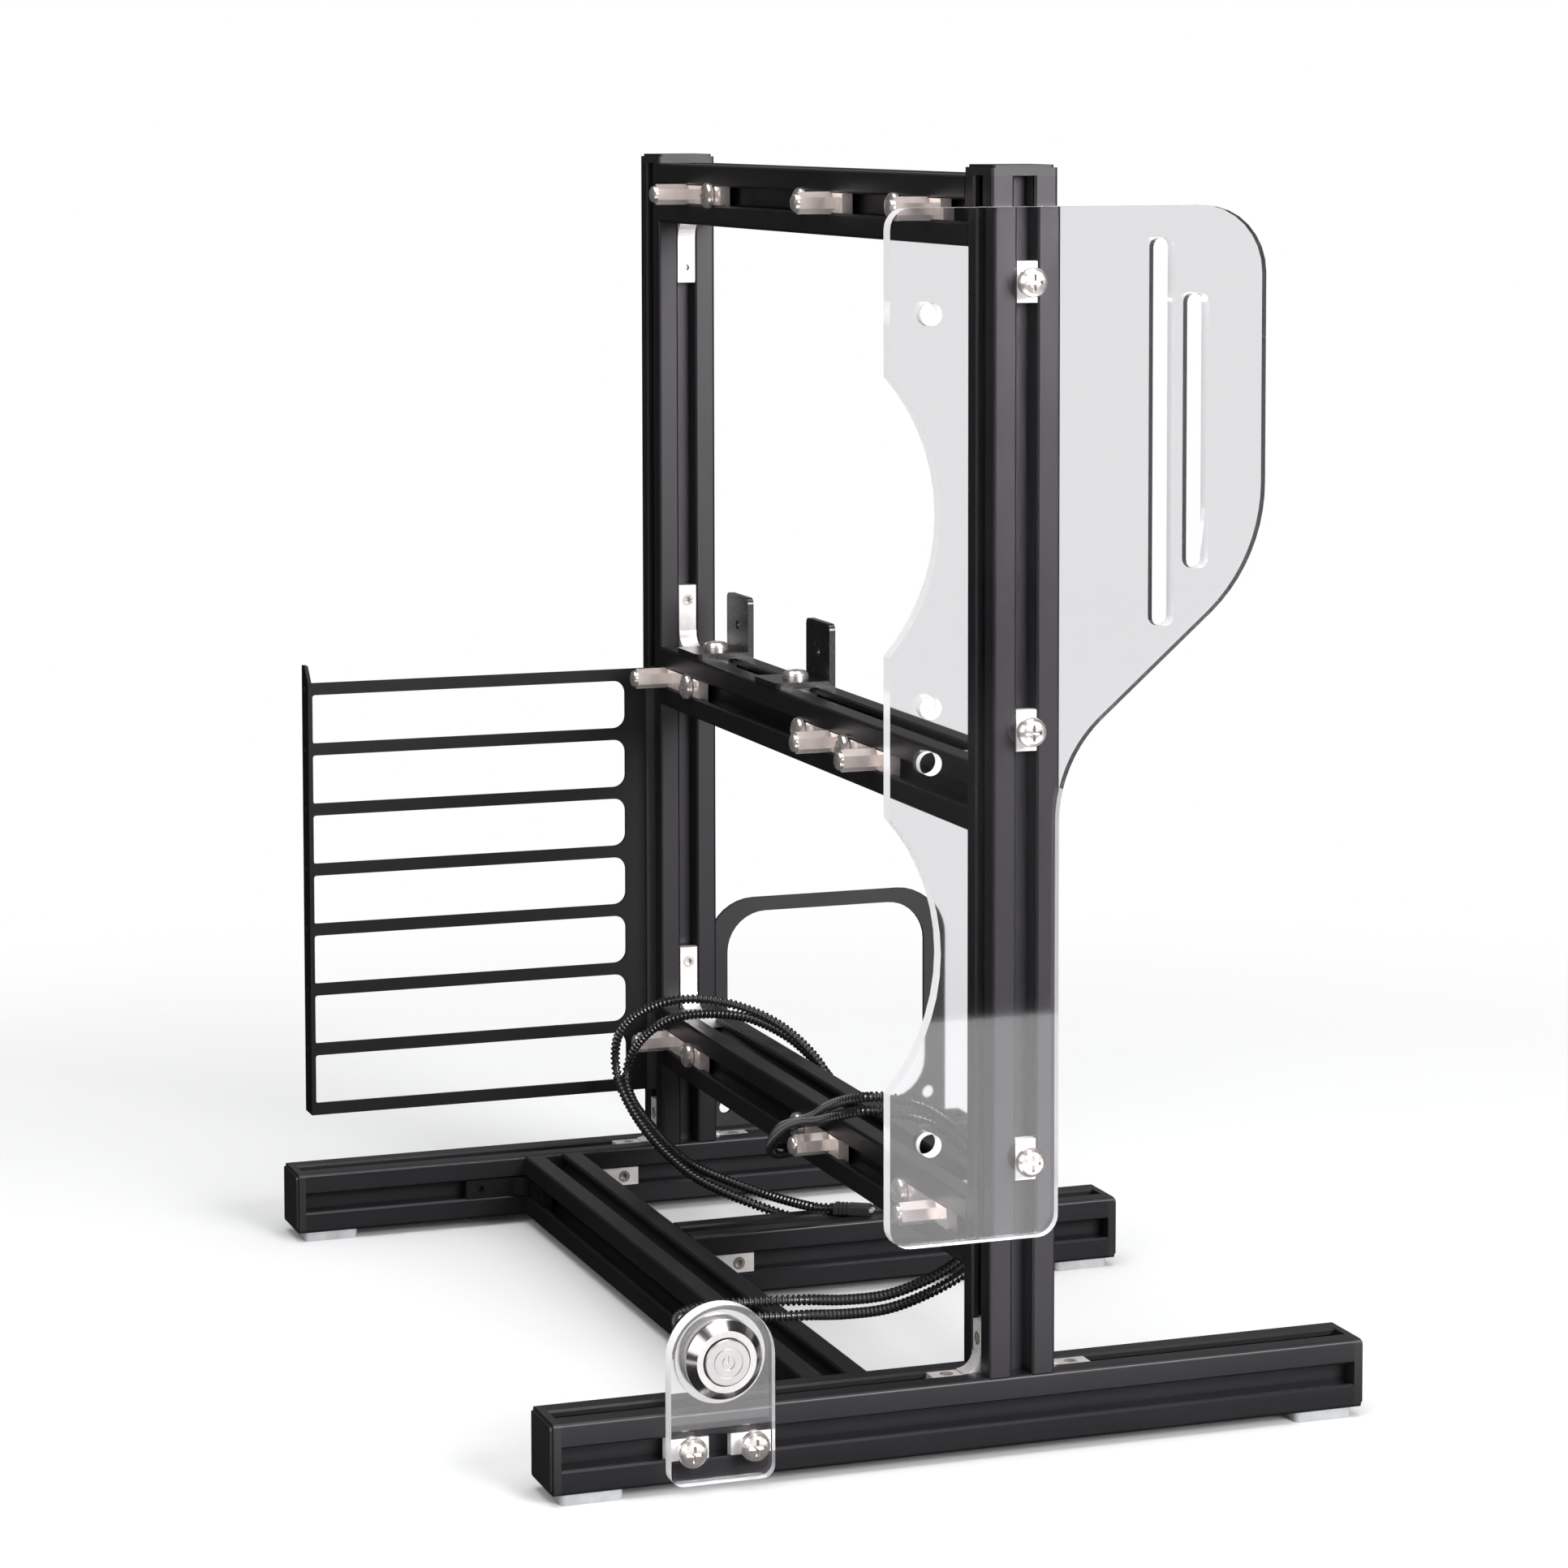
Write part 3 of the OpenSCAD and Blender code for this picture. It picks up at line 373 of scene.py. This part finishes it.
# A hair of air between the clear sheets and what they lie on keeps their faces clean,
# and the lamps shine through them. Their cut edges, which face neither front nor back,
# take their own material.
SHEET_GAP = 0.03
FACING = 0.9
for name in ("side_plate", "button_tab"):
    sheet = nodes[name]
    air = sheet.modifiers.new("air", "DISPLACE")
    air.strength = -SHEET_GAP * MM
    air.mid_level = 0
    sheet.visible_shadow = False
    sheet.data.materials.append(MATERIALS["edge"])
    for face in sheet.data.polygons:
        face.material_index = 0 if abs(face.normal.y) > FACING else 1

# On the side plate's wing, right of the post, the edges that face right take the dark copy of
# the edge material: painted shade for the dim room they mirror
TURNED_AWAY = 0.3
post_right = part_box("post_front")[1][0]
plate = nodes["side_plate"].data
plate.materials.append(MATERIALS["painted_shade_edge"])
for face in plate.polygons:
    turned = face.normal.x > TURNED_AWAY and face.center.x > post_right
    if turned and face.material_index == 1:
        face.material_index = 2

# The connectors and grub screws on the floor beam's left side take the black powder coat:
# painted shade, where they lie in shadow
beam_low, beam_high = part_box("floor_beam")
beam_middle = (beam_low[0] + beam_high[0]) / 2
for name in ("connectors_floor", "grub_screws"):
    mesh = nodes[name].data
    mesh.materials.append(MATERIALS["powder"])
    for face in mesh.polygons:
        if face.center.x < beam_middle and face.center.z < beam_high[2]:
            face.material_index = 1


# Shapes made here

SMOOTH_ANGLE = 35


def loft(bm, sections):
    """Skin over a row of rings with the same number of points, closed at both ends."""
    rings = [[bm.verts.new(p) for p in ring] for ring in sections]
    count = len(rings[0])
    for first, second in zip(rings, rings[1:]):
        for k in range(count):
            n = (k + 1) % count
            bm.faces.new((first[k], first[n], second[n], second[k]))
    bm.faces.new(list(reversed(rings[0])))
    bm.faces.new(rings[-1])


def piece_from(bm, name, material):
    """An object from a bmesh, shaded smooth over its flat edges."""
    bm.normal_update()
    bmesh.ops.recalc_face_normals(bm, faces=bm.faces)
    mesh = bpy.data.meshes.new(name)
    bm.to_mesh(mesh)
    bm.free()
    mesh.materials.append(MATERIALS[material])
    for face in mesh.polygons:
        face.use_smooth = True
    mesh.set_sharp_from_angle(angle=math.radians(SMOOTH_ANGLE))
    piece = bpy.data.objects.new(name, mesh)
    scene.collection.objects.link(piece)
    return piece


# The button's two leads, in millimetres. A route goes from the button's boot to the plug,
# through points read from the photo.

LEAD_RADIUS = 1.6
LEAD_SIDES = 14
LEAD_EXIT_Y = 24
LEAD_OFFSET = 2.1
BUTTON_X, BUTTON_Z = 47.6, 38
RIB_PITCH = 1.6
RIB_DEPTH = 0.55
RIB_RINGS = 4
ROUTE_STEPS = 12

SWITCH_ROUTE = [
    (BUTTON_X + LEAD_OFFSET, LEAD_EXIT_Y, BUTTON_Z), (50, 30, 38), (54, 35, 37.8),
    (61, 36.5, 37.5), (73, 34.5, 37), (86, 34.5, 36.3), (100, 39.5, 34), (115, 45, 32.8),
    (129, 49, 35), (141, 52, 39), (152, 56.5, 44.5), (158, 64, 52), (158.5, 73, 59),
    (156.5, 81.5, 65), (151.5, 87.5, 70.7), (144.5, 89, 76), (135, 91, 78.7), (127, 96, 78.8),
    (122, 107, 75.3), (120, 120, 71), (119.3, 132, 68), (119.3, 145, 63.5),
    (119.8, 158, 57.3), (121.5, 168, 52), (126.3, 176, 47.8), (134.5, 182.5, 46.6),
    (144, 188.5, 46.8), (152.5, 196, 48.5), (159.5, 205.5, 52.5), (160, 217, 60),
    (156.5, 228, 66.3), (150.5, 238.3, 72.2), (141.5, 250.5, 76), (131, 263, 75.5),
    (122, 272, 72.5), (116, 279, 66.5), (112.5, 284.5, 59), (110.7, 285, 51),
    (111, 278.5, 44), (112.7, 265.5, 38.8), (115, 250.5, 34.2), (118.5, 237, 31),
    (126, 224.5, 28.2), (135, 212.5, 25.6), (141, 202, 24.8), (145.5, 194, 24.7),
    (151, 190.5, 24.7),
]
LIGHT_ROUTE = [
    (BUTTON_X - LEAD_OFFSET, LEAD_EXIT_Y, BUTTON_Z), (46, 31.5, 38.3), (49.5, 38, 39),
    (57, 41, 39.8), (70, 40, 40), (86, 38, 39.8), (100, 41.5, 37.6), (115, 46.5, 36.4),
    (129, 50.5, 38.6), (139.5, 54, 42), (149.5, 58.5, 47), (154.5, 64.5, 54.5),
    (156, 71.5, 62), (154.5, 78, 69.5), (149.5, 83.5, 75.8), (142, 86.5, 81.3),
    (134, 88.5, 83.7), (126.5, 93.5, 83.5), (122.7, 104, 80.5), (122, 117, 75.7),
    (123, 131, 70), (123, 145, 65.2), (122.3, 158, 60.9), (123.7, 171, 54.5),
    (126.3, 181, 48.6), (133.5, 187.5, 46.7), (142.5, 193, 46.3), (150.8, 199.3, 49),
    (156, 206, 56), (156.5, 213, 63.5), (152.5, 221, 71), (145.5, 229.5, 77.7),
    (136, 237, 82.3), (125.5, 243.5, 84.5), (115.5, 250, 83.5), (107.5, 259, 78.5),
    (102.5, 265.5, 71), (101.5, 268, 63), (102, 266, 54.5), (104, 258.5, 46.5),
    (107, 249, 39.7), (111, 239, 34), (116.5, 228.5, 29), (123.5, 218.5, 25.6),
    (131, 209.5, 23), (140, 203.5, 20), (150, 202.5, 17), (159, 202.5, 17),
]


def smooth_line(points, steps):
    """A smooth line through the points, with a number of steps in each stretch."""
    points = [Vector(p) for p in points]
    last = len(points) - 1
    line = []
    for i in range(last):
        p, q = points[max(i - 1, 0)], points[i]
        r, s = points[i + 1], points[min(i + 2, last)]
        for k in range(steps):
            t = k / steps
            line.append(
                0.5 * (2 * q + (r - p) * t + (2 * p - 5 * q + 4 * r - s) * t * t
                       + (3 * q - p - 3 * r + s) * t * t * t)
            )
    line.append(points[-1])
    return line


def even_line(line, step):
    """The same line with points at an even distance, and its length."""
    total = sum((b - a).length for a, b in zip(line, line[1:]))
    count = max(2, round(total / step))
    places, walked, k = [line[0].copy()], 0.0, 0
    for i in range(1, count):
        target = total * i / count
        while walked + (line[k + 1] - line[k]).length < target:
            walked += (line[k + 1] - line[k]).length
            k += 1
        part = (target - walked) / (line[k + 1] - line[k]).length
        places.append(line[k].lerp(line[k + 1], part))
    places.append(line[-1].copy())
    return places, total


def sleeve(name, route):
    """A lead in a ribbed sleeve along its route. Returns the piece, its path and length."""
    line, total = even_line(smooth_line(route, ROUTE_STEPS), RIB_PITCH / RIB_RINGS)
    last = len(line) - 1
    normal = Vector((0, 0, 1))
    sections = []
    for i, centre in enumerate(line):
        tangent = (line[min(i + 1, last)] - line[max(i - 1, 0)]).normalized()
        normal = (normal - normal.dot(tangent) * tangent).normalized()
        side = tangent.cross(normal)
        # Half of a rib's rings stand at the full radius, and the others are its groove.
        # The first and the last rib have none.
        groove = i % RIB_RINGS >= RIB_RINGS / 2 and RIB_RINGS <= i <= last - RIB_RINGS
        radius = (LEAD_RADIUS - (RIB_DEPTH if groove else 0)) * MM
        middle = at(*centre)
        section = []
        for k in range(LEAD_SIDES):
            angle = 2 * math.pi * k / LEAD_SIDES
            section.append(
                middle + radius * (normal * math.cos(angle) + side * math.sin(angle))
            )
        sections.append(section)
    bm = bmesh.new()
    loft(bm, sections)
    path = [at(*p) for p in line[::RIB_RINGS]] + [at(*line[-1])]
    return piece_from(bm, name, "sleeve"), path, total * MM


PLUG_WIDTH, PLUG_THICK, PLUG_LENGTH = 5.4, 3.4, 12
PLUG_ROUND = 0.5
PLUG_CHAMFER, TIP_CHAMFER = 0.35, 0.2
GROOVES, GROOVE_START, GROOVE_PITCH = 3, 1.6, 1.3
GROOVE_WIDTH, GROOVE_DEPTH, GROOVE_SLOPE = 0.7, 0.25, 0.15
CONTACT_SIDE, CONTACT_LENGTH, CONTACT_SINK = 1, 1.2, 0.5
CONTACT_ROUND, CONTACT_TAPER, CONTACT_POINT = 0.15, 0.2, 0.25
CORNER_STEPS = 4


def plug_skin():
    """Places along the plug with how far its skin lies in from the full section there."""
    skin = [(0, PLUG_CHAMFER), (PLUG_CHAMFER, 0)]
    for i in range(GROOVES):
        start = GROOVE_START + i * GROOVE_PITCH
        end = start + GROOVE_WIDTH
        skin += [
            (start, 0), (start + GROOVE_SLOPE, GROOVE_DEPTH),
            (end - GROOVE_SLOPE, GROOVE_DEPTH), (end, 0),
        ]
    return skin + [(PLUG_LENGTH - TIP_CHAMFER, 0), (PLUG_LENGTH, TIP_CHAMFER)]


def rounded_ring(half_width, half_thick, corner):
    """Points of a rectangle with rounded corners, going round it once."""
    points = []
    for quarter, (sy, sz) in enumerate(((1, 1), (-1, 1), (-1, -1), (1, -1))):
        for k in range(CORNER_STEPS + 1):
            angle = math.pi / 2 * (quarter + k / CORNER_STEPS)
            points.append(
                (sy * (half_width - corner) + corner * math.cos(angle),
                 sz * (half_thick - corner) + corner * math.sin(angle))
            )
    return points


def plug(name, route):
    """A two-way plug on a lead's end: its body with grip grooves, and its contacts."""
    end, before = Vector(route[-1]), Vector(route[-2])
    run = end - before
    turn = Matrix.Rotation(math.atan2(run.y, run.x), 4, "Z")

    def out(x, y, z):
        return at(*(end + turn @ Vector((x, y, z))))

    body = bmesh.new()
    sections = []
    for x, inset in plug_skin():
        ring = rounded_ring(PLUG_WIDTH / 2 - inset, PLUG_THICK / 2 - inset, PLUG_ROUND)
        sections.append([out(x, y, z) for y, z in ring])
    loft(body, sections)
    contacts = bmesh.new()
    tip = PLUG_LENGTH + CONTACT_LENGTH
    contact_skin = [
        (PLUG_LENGTH - CONTACT_SINK, 0), (tip - CONTACT_POINT, 0), (tip, CONTACT_TAPER),
    ]
    for side in (-1, 1):
        sections = []
        for x, inset in contact_skin:
            half_side = CONTACT_SIDE / 2 - inset
            ring = rounded_ring(half_side, half_side, CONTACT_ROUND)
            sections.append([out(x, y + side * PLUG_WIDTH / 4, z) for y, z in ring])
        loft(contacts, sections)
    pieces = []
    for bm, part, material, slot in (
        (body, "body", "plug", "plug_plastic"),
        (contacts, "contacts", "hardware", "hardware"),
    ):
        piece = piece_from(bm, name + "_plug_" + part, material)
        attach(piece, "bench")
        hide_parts("lead_plugs")
        pieces.append(piece)
    return pieces


for name, route in (("switch_lead", SWITCH_ROUTE), ("light_lead", LIGHT_ROUTE)):
    piece, path, length = sleeve(name + "_sleeve", route)
    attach(piece, "bench")
    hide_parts(name)
    plug(name, route)


# Studio: a pale floor, a white background and soft lamps. Lengths in metres.

FLOOR_RADIUS, FLOOR_SIDES = 2.5, 96
FLOOR_GREYS = (0.80, 0.82)
MIRRORED_FLOOR = 0.02
# The floor fades to the background between these distances from the middle
FADE_END = 0.75
FADE_START = FADE_END * 0.35
AMBIENT_COLOUR, AMBIENT_LIGHT = (0.96, 0.98, 1, 1), 0.3
WALL_DIRECTION = (0.37, 0.92, 0.1)
WALL_EDGE = 0.8
WALL_LIGHT, ROOM_LIGHT = 0.28, 0.03
BACKGROUND_LIGHT = 1.0


def math_node(tree, operation, first, second):
    """The result of an operation on two inputs, each a socket or a number."""
    node = tree.nodes.new("ShaderNodeMath")
    node.operation = operation
    for socket, value in zip(node.inputs, (first, second)):
        if isinstance(value, float):
            socket.default_value = value
        else:
            tree.links.new(value, socket)
    return node.outputs[0]


def straight_sight(tree, rays):
    """1 on camera rays that at most passed clear sheets, and 0 on all others."""
    turns = math_node(tree, "ADD", rays.outputs["Glossy Depth"], rays.outputs["Diffuse Depth"])
    unturned = math_node(tree, "LESS_THAN", turns, 0.5)
    passed = math_node(tree, "MULTIPLY", unturned, rays.outputs["Is Transmission Ray"])
    return math_node(tree, "MAXIMUM", passed, rays.outputs["Is Camera Ray"])


def floor_material():
    """Pale floor. Towards its rim the camera sees through it to the white background."""
    tree = Tree("floor")
    cloud = tree.noise(tree.coordinates(), scale=3, detail=3)
    low, high = FLOOR_GREYS
    color = tree.ramp(cloud, [(0.3, grey(low)), (0.7, grey(high))])
    rays = tree.nodes.new("ShaderNodeLightPath")
    straight = straight_sight(tree, rays)
    # Mirrored in the bench, the floor is dimmer, as the dark surfaces show it
    mirrored = math_node(tree, "SUBTRACT", rays.outputs["Is Glossy Ray"], straight)
    dim = tree.nodes.new("ShaderNodeMixRGB")
    dim.use_clamp = True
    dim.inputs["Color2"].default_value = grey(MIRRORED_FLOOR)
    tree.links.new(mirrored, dim.inputs["Fac"])
    tree.links.new(color, dim.inputs["Color1"])
    tree.feed(color=dim.outputs["Color"])
    tree.set(roughness=0.9, specular=0.0)
    place = tree.nodes.new("ShaderNodeTexCoord")
    distance = tree.nodes.new("ShaderNodeVectorMath")
    distance.operation = "LENGTH"
    tree.links.new(place.outputs["Object"], distance.inputs[0])
    fade = tree.nodes.new("ShaderNodeMapRange")
    fade.interpolation_type = "SMOOTHERSTEP"
    fade.inputs["From Min"].default_value = FADE_START
    fade.inputs["From Max"].default_value = FADE_END
    tree.links.new(distance.outputs["Value"], fade.inputs["Value"])
    amount = math_node(tree, "MULTIPLY", fade.outputs["Result"], straight)
    through = tree.nodes.new("ShaderNodeBsdfTransparent")
    mix = tree.nodes.new("ShaderNodeMixShader")
    tree.links.new(amount, mix.inputs["Fac"])
    tree.links.new(tree.bsdf.outputs[0], mix.inputs[1])
    tree.links.new(through.outputs[0], mix.inputs[2])
    tree.links.new(mix.outputs[0], tree.output.inputs["Surface"])
    return tree.material


floor_bm = bmesh.new()
bmesh.ops.create_circle(floor_bm, cap_ends=True, segments=FLOOR_SIDES, radius=FLOOR_RADIUS)
floor_mesh = bpy.data.meshes.new("floor")
floor_bm.to_mesh(floor_mesh)
floor_bm.free()
floor_mesh.materials.append(floor_material())
floor = bpy.data.objects.new("floor", floor_mesh)
scene.collection.objects.link(floor)

world = bpy.data.worlds.new("studio")
world.use_nodes = True
scene.world = world
sky = world.node_tree
ambient = next(n for n in sky.nodes if n.type == "BACKGROUND")
ambient.inputs["Color"].default_value = AMBIENT_COLOUR
ambient.inputs["Strength"].default_value = AMBIENT_LIGHT
world_output = next(n for n in sky.nodes if n.type == "OUTPUT_WORLD")
rays = sky.nodes.new("ShaderNodeLightPath")


def white(strength):
    """A white background whose strength is a socket or a number."""
    node = sky.nodes.new("ShaderNodeBackground")
    node.inputs["Color"].default_value = (1, 1, 1, 1)
    if isinstance(strength, float):
        node.inputs["Strength"].default_value = strength
    else:
        sky.links.new(strength, node.inputs["Strength"])
    return node.outputs[0]


def choose(factor, first, second):
    """The first background where the factor is 0, and the second where it is 1."""
    node = sky.nodes.new("ShaderNodeMixShader")
    sky.links.new(factor, node.inputs["Fac"])
    sky.links.new(first, node.inputs[1])
    sky.links.new(second, node.inputs[2])
    return node.outputs[0]


# What the bench mirrors is a dim room with a paler wall behind it to the right
direction = sky.nodes.new("ShaderNodeTexCoord")
facing = sky.nodes.new("ShaderNodeVectorMath")
facing.operation = "DOT_PRODUCT"
facing.inputs[1].default_value = Vector(WALL_DIRECTION).normalized()
sky.links.new(direction.outputs["Generated"], facing.inputs[0])
wall = sky.nodes.new("ShaderNodeMapRange")
wall.interpolation_type = "SMOOTHSTEP"
wall.inputs["From Min"].default_value = WALL_EDGE
wall.inputs["To Min"].default_value = ROOM_LIGHT
wall.inputs["To Max"].default_value = WALL_LIGHT
sky.links.new(facing.outputs["Value"], wall.inputs["Value"])
room = white(wall.outputs["Result"])
unseen = choose(rays.outputs["Is Glossy Ray"], ambient.outputs[0], room)
backdrop = choose(straight_sight(sky, rays), unseen, white(BACKGROUND_LIGHT))
sky.links.new(backdrop, world_output.inputs["Surface"])


def lamp(name, place, target, size, watts):
    """A rectangular lamp of the given width and height that shines at its target."""
    data = bpy.data.lights.new(name, "AREA")
    data.shape = "RECTANGLE"
    data.size, data.size_y = size
    data.energy = watts
    lamp_object = bpy.data.objects.new(name, data)
    lamp_object.location = place
    direction = Vector(target) - Vector(place)
    lamp_object.rotation_euler = direction.to_track_quat("-Z", "Y").to_euler()
    scene.collection.objects.link(lamp_object)
    return lamp_object


lamp("top", (-0.1, -0.2, 1.6), (0, 0, 0.15), size=(1.5, 1.5), watts=23)
lamp("right_front", (0.62, -1.65, 0.74), (0, 0, 0.3), size=(0.9, 0.7), watts=36)
lamp("left_front", (-1.35, -0.95, 0.75), (0, 0, 0.2), size=(1.1, 1.1), watts=8)
# A low panel in front of the bench, which the sheets and the feet mirror
low = lamp("low_front", (0.12, -0.46, 0.004), (0.12, -0.46, 1), size=(0.8, 0.5), watts=2.2)
low.visible_camera = False
